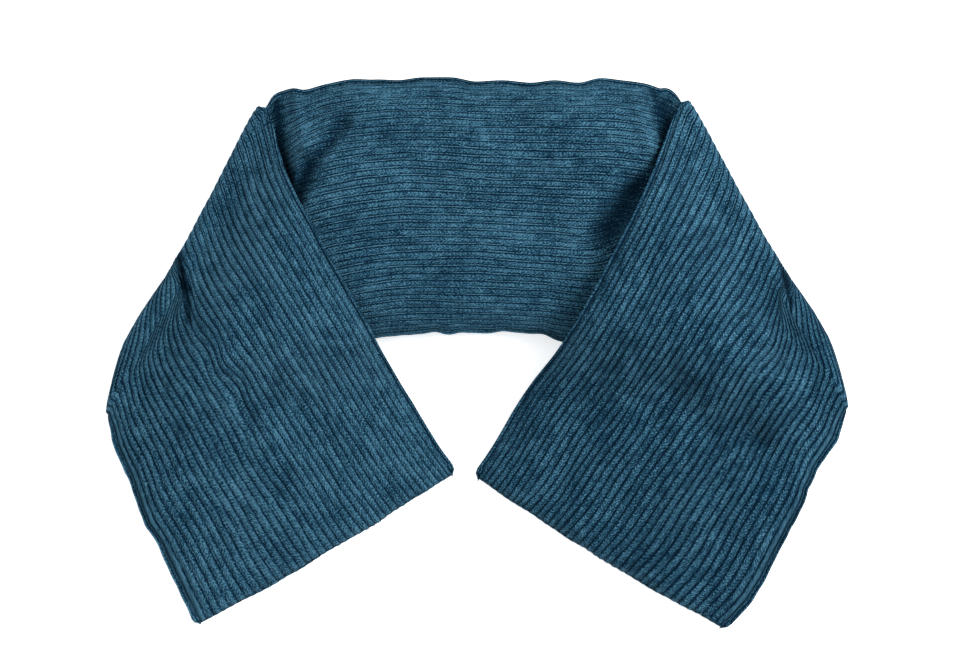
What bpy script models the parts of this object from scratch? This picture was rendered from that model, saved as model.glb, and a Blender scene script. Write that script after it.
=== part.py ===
"""A wheat heat bag: a long ribbed cloth bag of grain, laid flat with both ends folded over on top.

Metres, +Z up. The bag lies on z = 0 with its middle stretch along X. Each end is folded over along a
slanting line and runs back down and inwards, so the whole lies like a collar with its opening towards -Y.
The origin is in the middle of the footprint, on the surface.
"""

import bmesh
import bpy
import numpy as np

# The footprint of the folded bag, and its thickness along the strip
HALF_SPAN = 0.1855
DEPTH = 0.274
MIDDLE_THICKNESS = 0.027
FLAP_TOP_THICKNESS = 0.018
FLAP_THICKNESS = 0.024
FOLD_THICKNESS = 0.010
END_THICKNESS = 0.011

# The cloth, its seams and the space between the layers
CLOTH = 0.0016
SEAM_ALLOWANCE = 0.0032
CLEARANCE = 0.0003
FILLING_INSET = 0.0030
LAYER_GAP = 0.0015
FOLD_INNER_RADIUS = 0.0012
LEAST_RISE = 0.0026

# How far the thickness takes to grow from a fold, and to fall at an end
FOLD_RISE = 0.023
END_FALL = 0.075
END_ROUNDING = 0.013
STEP_OUTSIDE = 0.030
STEP_INSIDE = 0.016
BULGE = 0.004
BULGE_REACH = 0.030
END_BOW = 0.0022
END_BOW_POWER = 3

# How the thickness goes across: the seam's height, and how much of each face is flat
SEAM_HEIGHT_SHARE = 0.42
RIM_POWER = 12
EDGE_EASE_SHARE = 0.88
TOP_FLAT_SHARE = 0.15
UNDERSIDE_FLAT_SHARE = 0.56

# Cells along each half of the strip and across it, and how much closer they stand near the folds and seams
MIDDLE_CELLS = 11
FOLD_CELLS = 6
FLAP_CELLS = 14
ACROSS_CELLS = 14
MIDDLE_CROWDING_SHARE = 0.25
FLAP_CROWDING_SHARE = 0.09
SEAM_CROWDING_SHARE = 0.7

# The place along the middle stretch from which its hem and its edge run nearly straight to the fold
STRAIGHT_FROM_SHARE = 0.25

# The sections of each half, from the middle out to the fold. Each row is one line across the strip, from
# its upper edge to its hem: (edge out, edge up, hem out, hem up). Out is a share of HALF_SPAN, up of DEPTH.
LEFT_MIDDLE = (
    (0.000, 0.496, 0.000, 0.044),
    (0.208, 0.498, 0.248, 0.042),
    (0.396, 0.487, 0.504, -0.002),
    (0.468, 0.474, 0.640, -0.032),
    (0.520, 0.480, 0.780, -0.064),
    (0.570, 0.451, 0.968, -0.117),
)
RIGHT_MIDDLE = (
    (0.000, 0.496, 0.000, 0.044),
    (0.208, 0.494, 0.237, 0.034),
    (0.391, 0.494, 0.493, 0.000),
    (0.480, 0.486, 0.640, -0.030),
    (0.518, 0.480, 0.780, -0.060),
    (0.555, 0.461, 0.973, -0.108),
)

# The sections of each flap, from the fold to the sewn end
LEFT_FLAP = (
    (0.570, 0.451, 0.968, -0.117),
    (0.527, 0.340, 0.960, -0.168),
    (0.431, 0.212, 0.930, -0.223),
    (0.291, 0.040, 0.892, -0.299),
    (0.186, -0.089, 0.836, -0.372),
    (0.112, -0.170, 0.784, -0.449),
    (0.060, -0.218, 0.752, -0.494),
)
RIGHT_FLAP = (
    (0.555, 0.461, 0.973, -0.108),
    (0.489, 0.338, 0.957, -0.157),
    (0.401, 0.212, 0.912, -0.208),
    (0.257, 0.036, 0.868, -0.281),
    (0.139, -0.077, 0.809, -0.359),
    (0.055, -0.172, 0.738, -0.449),
    (0.003, -0.226, 0.668, -0.502),
)

# How a fold goes from its top to its corner: (place down the fold, share of FOLD_THICKNESS, share of BULGE,
# by which it swells past its straight line)
FOLD_FORM = (
    (0.00, 0.55, 0.00),
    (0.15, 0.52, 0.00),
    (0.30, 0.56, 0.00),
    (0.45, 0.68, 0.00),
    (0.60, 0.90, 0.10),
    (0.70, 1.00, 0.50),
    (0.80, 1.00, 0.85),
    (0.90, 1.00, 0.75),
    (1.00, 1.00, 0.60),
)

# Hollows pressed into the upper face: (side, stretch, along, across, half length, half width, depth).
# Along is the place between the stretch's first and last section, and across runs from -1 at the hem to 1 at
# the edge. Half length and half width are in the same shares, and depth is one of the stretch's thickness.
DENTS = (
    ("right", "middle", 0.22, -0.20, 0.10, 0.55, 0.14),
    ("left", "middle", 0.50, 0.55, 0.12, 0.30, -0.08),
    ("left", "middle", 0.88, 0.80, 0.055, 0.30, 0.50),
    ("right", "middle", 0.87, 0.85, 0.055, 0.30, 0.50),
    ("left", "flap", 0.42, 0.05, 0.07, 0.25, 0.22),
    ("left", "flap", 0.60, 0.35, 0.10, 0.20, 0.12),
    ("left", "flap", 0.70, -0.45, 0.14, 0.25, -0.07),
    ("right", "flap", 0.50, 0.20, 0.06, 0.22, 0.24),
    ("right", "flap", 0.44, -0.55, 0.05, 0.20, 0.20),
    ("right", "flap", 0.75, -0.20, 0.12, 0.28, -0.07),
)

HALVES = {
    "left": (LEFT_MIDDLE, LEFT_FLAP),
    "right": (RIGHT_MIDDLE, RIGHT_FLAP),
}


def remove_everything():
    for thing in list(bpy.data.objects):
        bpy.data.objects.remove(thing, do_unlink=True)


def material(name, colour, roughness):
    made = bpy.data.materials.new(name)
    made.use_nodes = True
    shader = made.node_tree.nodes["Principled BSDF"]
    shader.inputs["Base Color"].default_value = (*colour, 1.0)
    shader.inputs["Roughness"].default_value = roughness
    shader.inputs["Metallic"].default_value = 0.0
    return made


def smooth_step(x):
    x = np.clip(x, 0.0, 1.0)
    return x * x * (3.0 - 2.0 * x)


def pillow(across, flat_share):
    """1 over the flat middle of a face, falling to 0 with an upright end at the seams."""
    beyond = np.clip((np.abs(across) - flat_share) / (1.0 - flat_share), 0.0, 1.0)
    return np.sqrt(1.0 - beyond**2)


def sections_at(rows, places):
    """The sections at places from 0 to 1, on a smooth curve through the rows, as plan points in metres."""
    points = np.array(rows) * (HALF_SPAN, DEPTH, HALF_SPAN, DEPTH)
    steps = np.linalg.norm(np.diff(points, axis=0), axis=1)
    knots = np.concatenate([[0.0], np.cumsum(steps)]) / steps.sum()
    slopes = np.gradient(points, knots, axis=0)
    first = np.clip(np.searchsorted(knots, places, side="right") - 1, 0, len(knots) - 2)
    width = (knots[first + 1] - knots[first])[:, None]
    x = (places - knots[first])[:, None] / width
    return (
        points[first] * (1.0 - x) ** 2 * (1.0 + 2.0 * x)
        + points[first + 1] * x**2 * (3.0 - 2.0 * x)
        + slopes[first] * width * x * (1.0 - x) ** 2
        - slopes[first + 1] * width * x**2 * (1.0 - x)
    )


def drawn_in(sections, across, wall):
    """The places across at each section, drawn in by a wall at both seams and hardly further in."""
    width = np.linalg.norm(sections[:, :2] - sections[:, 2:], axis=1)
    return across - across[None, :] ** RIM_POWER * np.sign(across) * (2.0 * wall / width)[:, None]


def plan_points(sections, across):
    """The plan points of each section at its places across, hem -1 to edge 1."""
    edge = sections[:, None, :2]
    hem = sections[:, None, 2:]
    return (edge + hem) / 2.0 + (edge - hem) / 2.0 * across[..., None]


def kept_share(side, stretch, along, across):
    """The share of its thickness that each point keeps over the hollows pressed into the upper face."""
    lost = np.zeros(across.shape)
    for dent_side, dent_stretch, place, over, length, width, depth in DENTS:
        if (dent_side, dent_stretch) == (side, stretch):
            away = ((along[:, None] - place) / length) ** 2 + ((across - over) / width) ** 2
            lost += depth * np.exp(-away)
    return 1.0 - lost


class Fold:
    """One fold's straight line in plan, and the heights that depend on how far a point lies from it."""

    def __init__(self, rows):
        sections = sections_at(rows, np.array([STRAIGHT_FROM_SHARE, 1.0]))
        self.start = sections[1, :2]
        line = sections[1, 2:] - self.start
        self.length = np.linalg.norm(line)
        self.down = line / self.length
        self.outward = np.array([-self.down[1], self.down[0]])
        hem = sections[1, 2:] - sections[0, 2:]
        self.hem_start = sections[0, 2:]
        self.past_hem = np.array([hem[1], -hem[0]]) / np.linalg.norm(hem)
        edge = sections[1, :2] - sections[0, :2]
        self.edge_start = sections[0, :2]
        self.past_edge = np.array([-edge[1], edge[0]]) / np.linalg.norm(edge)
        self.half_width = np.linalg.norm(sections[0, :2] - sections[0, 2:]) / 2.0

    def inward(self, points):
        """How far points lie inwards of the fold line."""
        return np.maximum(-(points - self.start) @ self.outward, 0.0)

    def form(self, points, column):
        """The fold's own thickness, or how far it swells, at the place down the fold beside these points."""
        place = (points - self.start) @ self.down / self.length
        table = np.array(FOLD_FORM)
        return (FOLD_THICKNESS, BULGE)[column] * np.interp(place, table[:, 0], table[:, column + 1])

    def swollen(self, points):
        """The points pushed outwards where the fold swells past its line."""
        push = self.form(points, 1) * np.exp(-((self.inward(points) / BULGE_REACH) ** 2))
        return points + push[..., None] * self.outward

    def grown(self, points, full):
        """A thickness that starts as the fold's own and grows to its full one further in."""
        thin = self.form(points, 0)
        return thin + (full - thin) * (1.0 - np.exp(-((self.inward(points) / FOLD_RISE) ** 2)))

    def middle_thickness(self, points):
        return self.grown(points, MIDDLE_THICKNESS)

    def on_middle(self, points):
        """1 where a flap lies on the middle stretch, falling to 0 past the hem, on the surface."""
        beyond = (points - self.hem_start) @ self.past_hem
        return 1.0 - smooth_step((beyond + STEP_INSIDE) / (STEP_INSIDE + STEP_OUTSIDE))

    def flap_thickness(self, points, left):
        """A flap's thickness: the grain slips off the middle stretch and thins out towards the end."""
        full = FLAP_THICKNESS + (FLAP_TOP_THICKNESS - FLAP_THICKNESS) * self.on_middle(points)
        return self.grown(points, END_THICKNESS + (full - END_THICKNESS) * smooth_step(left / END_FALL))

    def edge_drop(self, points):
        """The share of the middle stretch's thickness that it still has under a flap near its upper edge."""
        across = 1.0 + (points - self.edge_start) @ self.past_edge / self.half_width
        share = pillow(EDGE_EASE_SHARE * np.maximum(across, 0.0), TOP_FLAT_SHARE)
        return SEAM_HEIGHT_SHARE + (1.0 - SEAM_HEIGHT_SHARE) * share

    def base(self, points):
        """The height of the flap's underside."""
        near = np.exp(-self.inward(points) / FOLD_THICKNESS)
        gap = LAYER_GAP + (2.0 * FOLD_INNER_RADIUS - LAYER_GAP) * near
        height = self.middle_thickness(points) * (self.edge_drop(points) * (1.0 - near) + near)
        return (height + gap) * self.on_middle(points)


def face_heights(base, full, kept, across, rounding, inset):
    """The heights of a stretch's underside and top, this far inside its outer surface."""
    under = SEAM_HEIGHT_SHARE * full - CLEARANCE / 2.0
    over = SEAM_HEIGHT_SHARE * full + CLEARANCE / 2.0
    under_share = pillow(across, UNDERSIDE_FLAT_SHARE) * rounding
    top_share = pillow(across, TOP_FLAT_SHARE) * rounding
    top = np.maximum(full * kept, over + LEAST_RISE)
    return (
        base + under + (inset - under) * under_share,
        base + over + (top - inset - over) * top_share,
    )


def middle_faces(side, fold, rows, along, across, inset, wall):
    """The plan points of one half of the middle stretch, and the heights of its underside and top."""
    sections = sections_at(rows, along)
    places = drawn_in(sections, across, wall)
    points = plan_points(sections, places)
    kept = kept_share(side, "middle", along, places)
    under, top = face_heights(0.0, fold.middle_thickness(points), kept, across, 1.0, inset)
    return points, under, top


def flap_faces(side, fold, rows, along, across, inset, wall):
    """The same for one flap, which lies on the middle stretch and, past its hem, on the surface."""
    ends = sections_at(rows, np.array([0.0, 1.0]))
    along = along - along**RIM_POWER * wall / np.linalg.norm(ends[1, :2] - ends[0, :2])
    sections = sections_at(rows, along)
    places = drawn_in(sections, across, wall)
    points = plan_points(sections, places)
    towards_end = (sections[-1, 2:] - sections[-1, :2])[::-1] * (1.0, -1.0)
    bow = END_BOW * along[:, None] ** END_BOW_POWER * (1.0 - places**2)
    points = points + bow[..., None] * towards_end / np.linalg.norm(towards_end)
    kept = kept_share(side, "flap", along, places)
    left = np.linalg.norm(points - points[-1:], axis=2)
    full = fold.flap_thickness(points, left)
    rounding = pillow(1.0 - np.clip(left / END_ROUNDING, 0.0, 1.0), 0.0)
    under, top = face_heights(fold.base(points), full, kept, across, rounding, inset)
    return points, under, top


def turned(fold, middle, flap, outer_middle, outer_flap):
    """The columns round a fold, from the middle stretch's last section to the flap's first."""
    plan = middle[0][-1]
    low_under, low_top = middle[1][-1], middle[2][-1]
    high_under, high_top = flap[1][0], flap[2][0]
    low_middle = (outer_middle[1][-1] + outer_middle[2][-1]) / 2.0
    high_middle = (outer_flap[1][0] + outer_flap[2][0]) / 2.0
    centre = (low_middle + high_middle) / 2.0
    radius = (high_middle - low_middle) / 2.0
    angles = np.linspace(0.0, np.pi, FOLD_CELLS + 1)[1:-1, None]
    turn = angles / np.pi
    front = radius - (low_top - low_middle) * (1.0 - turn) - (high_middle - high_under) * turn
    back = radius + (low_middle - low_under) * (1.0 - turn) + (high_top - high_middle) * turn
    faces = []
    for reach in (front, back):
        out = plan + (reach * np.sin(angles))[..., None] * fold.outward
        faces.append(np.dstack([fold.swollen(out), centre - reach * np.cos(angles)]))
    return faces


def half_strip(side, across, inset, wall):
    """One half of the strip, from its middle to its sewn end: the points of its front and its back face."""
    middle_rows, flap_rows = HALVES[side]
    fold = Fold(middle_rows)
    steps = np.linspace(0.0, 1.0, MIDDLE_CELLS + 1)
    middle_along = steps * (1.0 + MIDDLE_CROWDING_SHARE * (1.0 - steps))
    steps = np.linspace(0.0, 1.0, FLAP_CELLS + 1)
    flap_along = steps - FLAP_CROWDING_SHARE * np.sin(2.0 * np.pi * steps)
    middle, outer_middle = (
        middle_faces(side, fold, middle_rows, middle_along, across, *depth)
        for depth in ((inset, wall), (0.0, 0.0))
    )
    flap, outer_flap = (
        flap_faces(side, fold, flap_rows, flap_along, across, *depth)
        for depth in ((inset, wall), (0.0, 0.0))
    )
    front_turn, back_turn = turned(fold, middle, flap, outer_middle, outer_flap)
    middle_plan = fold.swollen(middle[0])
    flap_plan = fold.swollen(flap[0])
    front = [np.dstack([middle_plan, middle[2]]), front_turn, np.dstack([flap_plan, flap[1]])]
    back = [np.dstack([middle_plan, middle[1]]), back_turn, np.dstack([flap_plan, flap[2]])]
    return np.concatenate(front), np.concatenate(back)


def strip(across, inset, wall):
    """Both faces of the whole strip, from left end to right, this far inside the outer surface."""
    left = half_strip("left", across, inset, wall)
    right = half_strip("right", across, inset, wall)
    mirrored = [face[:0:-1] * (-1.0, 1.0, 1.0) for face in left]
    return [np.concatenate(pair) for pair in zip(mirrored, right, strict=True)]


def split_cells(shaped, verts, along, across):
    """Cuts each cell of a grid along the diagonal that runs towards the sheet's nearest corner."""
    for row in range(across - 1):
        for column in range(along - 1):
            here = row * along + column
            if (2 * row < across - 1) == (2 * column < along - 1):
                ends = [verts[here], verts[here + along + 1]]
            else:
                ends = [verts[here + 1], verts[here + along]]
            bmesh.ops.connect_verts(shaped, verts=ends)


def body(name, outer, inner, made_of):
    """One closed body between two grids of points with the same lines, joined round their rims."""
    shaped = bmesh.new()
    sheets = []
    for points in (outer, inner):
        along, across = points.shape[:2]
        grid = bmesh.ops.create_grid(shaped, x_segments=along - 1, y_segments=across - 1, size=0.5)
        for vert, place in zip(grid["verts"], points.transpose(1, 0, 2).reshape(-1, 3), strict=True):
            vert.co = place
        split_cells(shaped, grid["verts"], along, across)
        sheets.append(grid["verts"])
    order = np.arange(along * across).reshape(across, along)
    rim = [*order[0], *order[1:, -1], *order[-1, -2::-1], *order[-2:0:-1, 0]]
    for here, after in zip(rim, rim[1:] + rim[:1], strict=True):
        shaped.faces.new((sheets[0][here], sheets[0][after], sheets[1][after]))
        shaped.faces.new((sheets[0][here], sheets[1][after], sheets[1][here]))
    bmesh.ops.recalc_face_normals(shaped, faces=shaped.faces[:])
    mesh = bpy.data.meshes.new(name)
    shaped.to_mesh(mesh)
    shaped.free()
    mesh.materials.append(made_of)
    mesh.shade_smooth()
    made = bpy.data.objects.new(name, mesh)
    bpy.context.collection.objects.link(made)
    return made


def lines_across():
    """The places of the lines across the strip, closer together towards its seams."""
    even = np.linspace(-1.0, 1.0, ACROSS_CELLS + 1)
    return (1.0 - SEAM_CROWDING_SHARE) * even + SEAM_CROWDING_SHARE * np.sin(np.pi / 2.0 * even)


def build():
    remove_everything()
    teal = material("teal_chenille", (0.022, 0.072, 0.112), 0.85)
    grain = material("wheat_grain", (0.55, 0.36, 0.16), 0.7)
    lines = lines_across()
    outer = np.array(strip(lines, 0.0, 0.0))
    inner = np.array(strip(lines, CLOTH, SEAM_ALLOWANCE))
    filling = np.array(strip(lines, CLOTH + CLEARANCE, SEAM_ALLOWANCE + FILLING_INSET))
    footprint = (outer.min(axis=(0, 1, 2)) + outer.max(axis=(0, 1, 2))) / 2.0 * (1.0, 1.0, 0.0)
    outer, inner, filling = outer - footprint, inner - footprint, filling - footprint
    body("front_panel", outer[0], inner[0], teal)
    body("back_panel", outer[1], inner[1], teal)
    body("wheat_filling", filling[0], filling[1], grain)


build()
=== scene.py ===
"""A wheat heat bag in ribbed teal chenille, laid flat with both ends folded over on top like a collar."""

import math

import bmesh
import bpy
import numpy as np
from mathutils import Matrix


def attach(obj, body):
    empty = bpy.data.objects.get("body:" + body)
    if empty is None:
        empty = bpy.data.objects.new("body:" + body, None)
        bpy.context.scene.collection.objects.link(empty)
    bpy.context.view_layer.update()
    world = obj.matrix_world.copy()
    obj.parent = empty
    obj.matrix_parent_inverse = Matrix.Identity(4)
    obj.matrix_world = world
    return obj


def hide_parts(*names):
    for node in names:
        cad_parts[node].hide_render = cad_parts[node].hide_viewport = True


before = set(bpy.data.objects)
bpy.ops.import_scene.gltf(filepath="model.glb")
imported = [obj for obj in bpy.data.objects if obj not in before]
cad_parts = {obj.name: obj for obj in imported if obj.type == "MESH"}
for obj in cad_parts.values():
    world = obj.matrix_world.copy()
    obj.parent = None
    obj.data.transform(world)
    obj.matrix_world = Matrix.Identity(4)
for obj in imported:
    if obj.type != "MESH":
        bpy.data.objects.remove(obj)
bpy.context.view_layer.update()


# The front panel: one strip of ribbed cotton chenille, its ribs running the length of the bag. It shows on
# the middle stretch, turns inside round each fold and lies face down under the flaps. It is sewn to the back
# panel wrong side out and turned, so that the seam allowances lie inside.

HALF_SPAN = 0.1855
DEPTH = 0.274
FOOTPRINT_CENTRE = np.array([0.00037454, -0.00048922])
MIDDLE_THICKNESS = 0.027
FLAP_TOP_THICKNESS = 0.018
FLAP_THICKNESS = 0.024
FOLD_THICKNESS = 0.010
END_THICKNESS = 0.011
SEAM_GAP = 0.0003
LAYER_GAP = 0.0015
FOLD_INNER_RADIUS = 0.0012
LEAST_RISE = 0.0036
FOLD_RISE = 0.023
END_FALL = 0.075
END_ROUNDING = 0.013
STEP_OUTSIDE = 0.030
STEP_INSIDE = 0.016
BULGE = 0.004
BULGE_REACH = 0.030
END_BOW = 0.0022
CORNER_FILL = 0.0027
CORNER_FILL_LENGTH = 0.07
CORNER_FROM = -0.55
CORNER_SPAN = 0.45
CORNER_TIGHTER = 0.35
SEAM_HEIGHT_SHARE = 0.42
EDGE_EASE = 0.88
TOP_FLAT = 0.15
UNDERSIDE_FLAT = 0.56

# Sections across the strip as (edge out, edge up, hem out, hem up), in shares of HALF_SPAN and DEPTH
MIDDLE_SECTIONS = {
    "left": (
        (0.000, 0.496, 0.000, 0.044),
        (0.208, 0.498, 0.248, 0.042),
        (0.396, 0.487, 0.504, -0.002),
        (0.468, 0.474, 0.640, -0.032),
        (0.520, 0.480, 0.780, -0.064),
        (0.570, 0.451, 0.968, -0.117),
    ),
    "right": (
        (0.000, 0.496, 0.000, 0.044),
        (0.208, 0.494, 0.237, 0.034),
        (0.391, 0.494, 0.493, 0.000),
        (0.480, 0.486, 0.640, -0.030),
        (0.518, 0.480, 0.780, -0.060),
        (0.555, 0.461, 0.973, -0.108),
    ),
}
FLAP_SECTIONS = {
    "left": (
        (0.570, 0.451, 0.968, -0.117),
        (0.527, 0.340, 0.960, -0.168),
        (0.431, 0.212, 0.930, -0.223),
        (0.291, 0.040, 0.892, -0.299),
        (0.186, -0.089, 0.836, -0.372),
        (0.112, -0.170, 0.784, -0.449),
        (0.060, -0.218, 0.752, -0.494),
    ),
    "right": (
        (0.555, 0.461, 0.973, -0.108),
        (0.489, 0.338, 0.957, -0.157),
        (0.401, 0.212, 0.912, -0.208),
        (0.257, 0.036, 0.868, -0.281),
        (0.139, -0.077, 0.809, -0.359),
        (0.055, -0.172, 0.738, -0.449),
        (0.003, -0.226, 0.668, -0.502),
    ),
}

# A fold from its top to its corner: (place, share of FOLD_THICKNESS, share of BULGE)
FOLD_FORM = np.array([
    (0.00, 0.55, 0.00),
    (0.15, 0.52, 0.00),
    (0.30, 0.56, 0.00),
    (0.45, 0.68, 0.00),
    (0.60, 0.90, 0.10),
    (0.70, 1.00, 0.50),
    (0.80, 1.00, 0.85),
    (0.90, 1.00, 0.75),
    (1.00, 1.00, 0.60),
])

# Hollows in the upper face: (side, stretch, along, across, half length, half width, share of the thickness)
HOLLOWS = (
    ("right", "middle", 0.22, -0.20, 0.10, 0.55, 0.14),
    ("left", "middle", 0.50, 0.55, 0.12, 0.30, -0.08),
    ("left", "flap", 0.42, 0.05, 0.07, 0.25, 0.22),
    ("left", "flap", 0.60, 0.35, 0.10, 0.20, 0.12),
    ("left", "flap", 0.70, -0.45, 0.14, 0.25, -0.07),
    ("right", "flap", 0.50, 0.20, 0.06, 0.22, 0.24),
    ("right", "flap", 0.44, -0.55, 0.05, 0.20, 0.20),
    ("right", "flap", 0.75, -0.20, 0.12, 0.28, -0.07),
)

# Creases in the face that shows, from one point to another in mm: (stretch, x, y, x, y, half width, depth)
CREASES = (
    ("middle", -101.5, 129.0, -98.0, 99.0, 2.2, 9.0),
    ("middle", -98.0, 99.0, -91.0, 78.0, 3.0, 7.0),
    ("middle", -106.5, 126.0, -104.5, 112.0, 2.5, -2.5),
    ("middle", -91.5, 127.0, -87.0, 106.0, 5.0, -6.5),
    ("middle", -91.0, 80.0, -83.0, 96.0, 3.6, 6.5),
    ("middle", -83.0, 96.0, -67.0, 117.0, 3.6, 4.8),
    ("middle", -84.0, 112.0, -60.0, 132.0, 4.0, -1.4),
    ("middle", 89.0, 134.0, 97.5, 106.0, 2.0, 6.5),
    ("middle", 97.5, 106.0, 92.0, 88.0, 4.0, 6.0),
    ("middle", 93.0, 126.0, 95.5, 113.0, 3.6, 9.0),
    ("middle", 80.0, 130.0, 87.0, 104.0, 5.5, -6.5),
    ("middle", 97.0, 128.0, 101.0, 120.0, 3.0, -2.0),
    ("middle", 64.0, 64.0, 81.0, 84.0, 8.0, 6.5),
    ("middle", 54.0, 50.0, 74.0, 62.0, 3.0, 1.5),
    ("middle", 18.0, 122.0, 22.0, 66.0, 10.0, 1.6),
    ("flap", -149.5, 50.0, -145.5, 32.0, 2.0, 5.0),
    ("flap", -145.5, 32.0, -144.0, 10.0, 3.0, 2.6),
    ("flap", 151.5, 50.0, 156.0, 36.0, 1.8, 6.0),
    ("flap", 156.0, 36.0, 158.0, 24.0, 2.0, 4.0),
    ("flap", -136.0, 8.0, -130.0, -10.0, 3.0, 1.8),
    ("flap", -128.0, -8.0, -114.0, -30.0, 5.0, 2.4),
    ("flap", -134.0, -22.0, -122.0, -44.0, 8.0, 1.2),
    ("flap", 82.0, -22.0, 92.0, -42.0, 5.0, 2.4),
    ("flap", 108.0, -28.0, 118.0, -42.0, 5.0, 1.8),
    ("flap", 130.0, 8.0, 156.0, 0.0, 3.5, 2.2),
)

# Narrow slits where a fold tucks in, on the back panel: (x, y, x, y, half width, depth), all in mm
SLITS = (
    (-150.0, 49.0, -146.0, 33.0, 1.1, 3.2),
    (-146.0, 33.0, -144.5, 18.0, 1.4, 2.0),
    (153.0, 48.0, 155.5, 36.0, 1.0, 3.2),
    (155.5, 36.0, 157.5, 25.0, 1.0, 3.0),
)

# Where folds and creases pull the ribs sideways: (face, mm along from the middle, across, half length in mm,
# half width, shift across). Across runs from -1 at the hem to 1 at the edge.
PULLS = (
    ("front", -122.0, 0.62, 23.0, 0.34, -0.21),
    ("front", 68.0, -0.25, 12.0, 0.22, 0.11),
    ("front", 122.0, 0.55, 16.0, 0.35, -0.12),
    ("front", 20.0, 0.30, 40.0, 0.50, -0.02),
    ("back", -205.0, -0.10, 9.0, 0.13, 0.024),
    ("back", -217.0, 0.02, 9.0, 0.12, -0.024),
    ("back", -231.0, -0.05, 8.0, 0.11, 0.020),
    ("back", 252.0, 0.22, 10.0, 0.13, 0.026),
    ("back", 240.0, -0.12, 9.0, 0.12, -0.022),
    ("back", 188.0, -0.27, 8.0, 0.12, -0.018),
)

# Below the slit in each fold, a place across, the ribs climb and run down beside the fold: how far at most,
# how fast this grows from the hem, how fast it falls away from the fold, and how softly it does both
GATHER = {"left": 0.02, "right": -0.10}
CLIMB = 0.46
CLIMB_FROM_HEM = 0.93
CLIMB_PER_METRE = 18.0
CLIMB_BEFORE_FOLD = 0.010
CLIMB_SOFTNESS = 0.06
FALL_SOFTNESS = 0.03
SLIT_BELOW = 0.18
SLIT_SPAN = 0.26
TURN_PUSH = 0.006

# Above the slit the ribs lean towards the fold, and down the flaps they drift towards the edge
LEAN = 0.10
LEAN_REACH = 0.030
LEAN_BELOW = 0.35
LEAN_SPAN = 0.5
DRIFT = 0.10

# Unevenness of the cloth: (seed, length of a lump in metres, lumps across half the width, start, size)
RIB_WANDER = ((5, 0.030, 6.0, 40.0, 0.009), (6, 0.011, 14.0, 90.0, 0.004))
UNEVEN_RIBS = (13, 0.014, 18.0, 50.0, 0.25)
LUMPS = (11, 0.018, 4.5, 30.0, 0.0007)
SMALL_LUMPS = (15, 0.007, 10.0, 80.0, 0.0003)
LUMPS_LOWER = 0.0003
LUMPS_LOST_AT_FOLD = 0.7
LUMPS_LOWER_BY_FOLD = 0.020

# The long seams wave in and out, the hem in a second, shorter wave as well, and less on the flaps
RUFFLE = 0.0013
RUFFLE_WAVE = 0.013
HEM_WAVE = 0.006
HEM_WAVE_SHARE = 0.7
RUFFLE_LOST_ON_FLAP = 0.7
RUFFLE_LOST_BY = 0.01
FOLD_REACH = 0.016

RIBS = 40
RIB_HEIGHT = {"front": 0.0006, "back": 0.0010}
MEAN_HEIGHT_SHARE = 0.9
HEIGHT_LOST_AT_FOLD = 0.4
RIBS_FLATTER_BY_FOLD = 0.010
HEIGHT_LOST_AT_END = 0.5
END_REACH = 0.004
SEAM_RIB_WIDTH = 0.6
THIN_RIB = 0.3

# One rib across: (share of its width, share of its height), a thin rib and then a broad one
RIB_FORM = np.array([
    (0.00, 0.00),
    (0.15, 0.55),
    (0.30, 0.15),
    (0.42, 0.85),
    (0.62, 1.00),
    (0.80, 0.95),
    (0.92, 0.70),
])

# Painted shade: the pile's colour darkens in creases deeper than the first of these, all the way at the
# second, both in mm, and in slits, all the way at the third, in metres
PAINTED_SHADE_FROM = 4.0
PAINTED_SHADE_FULL = 9.0
PAINTED_SLIT_SHADE_FULL = 0.003

# No relief goes deeper than this below the cloth. Creases widen by so many mm for each metre of inset, so
# that the filling stays below the cloth in them.
DEEPEST_MOVE = 0.0028
INSET_WIDENS = 800.0

# The strip's lengths from its middle to its end with the grid's cells on them, and its seam allowance
MIDDLE_CELLS = 74
FOLD_CELLS = 20
FLAP_CELLS = 76
MIDDLE_LENGTH = 0.142
TURN_LENGTH = 0.020
FLAP_LENGTH = 0.160
STRIP_WIDTH = 0.150
TUCKED_IN = 0.003
TUCKED_SHARES = (0.3, 1.0)
TUCK_LOST_AT_FOLD = 0.9
CORNER_ROUNDING = 0.005

# How high each face swells, as a share of half its width, so that ribs keep their spacing up its slopes
MIDDLE_TOP_RISE = 0.45
FLAP_TOP_RISE = 0.20
UNDERSIDE_RISE = 0.25


def smooth_step(x):
    x = np.clip(x, 0.0, 1.0)
    return x * x * (3.0 - 2.0 * x)


def soft_noise(seed, x, y):
    """Smooth noise from -1 to 1, one lump to each unit of x and y."""
    lattice = np.random.RandomState(seed).uniform(-1.0, 1.0, (256, 256))
    column = np.floor(x).astype(int)
    row = np.floor(y).astype(int)
    right = smooth_step(x - column)
    up = smooth_step(y - row)
    low = (lattice[column % 256, row % 256] * (1.0 - right)
           + lattice[(column + 1) % 256, row % 256] * right)
    high = (lattice[column % 256, (row + 1) % 256] * (1.0 - right)
            + lattice[(column + 1) % 256, (row + 1) % 256] * right)
    return low * (1.0 - up) + high * up


def pillow(across, flat):
    """1 over the flat middle of a face, falling to 0 with an upright end at the seams."""
    beyond = np.clip((np.abs(across) - flat) / (1.0 - flat), 0.0, 1.0)
    return np.sqrt(1.0 - beyond**2)


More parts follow.
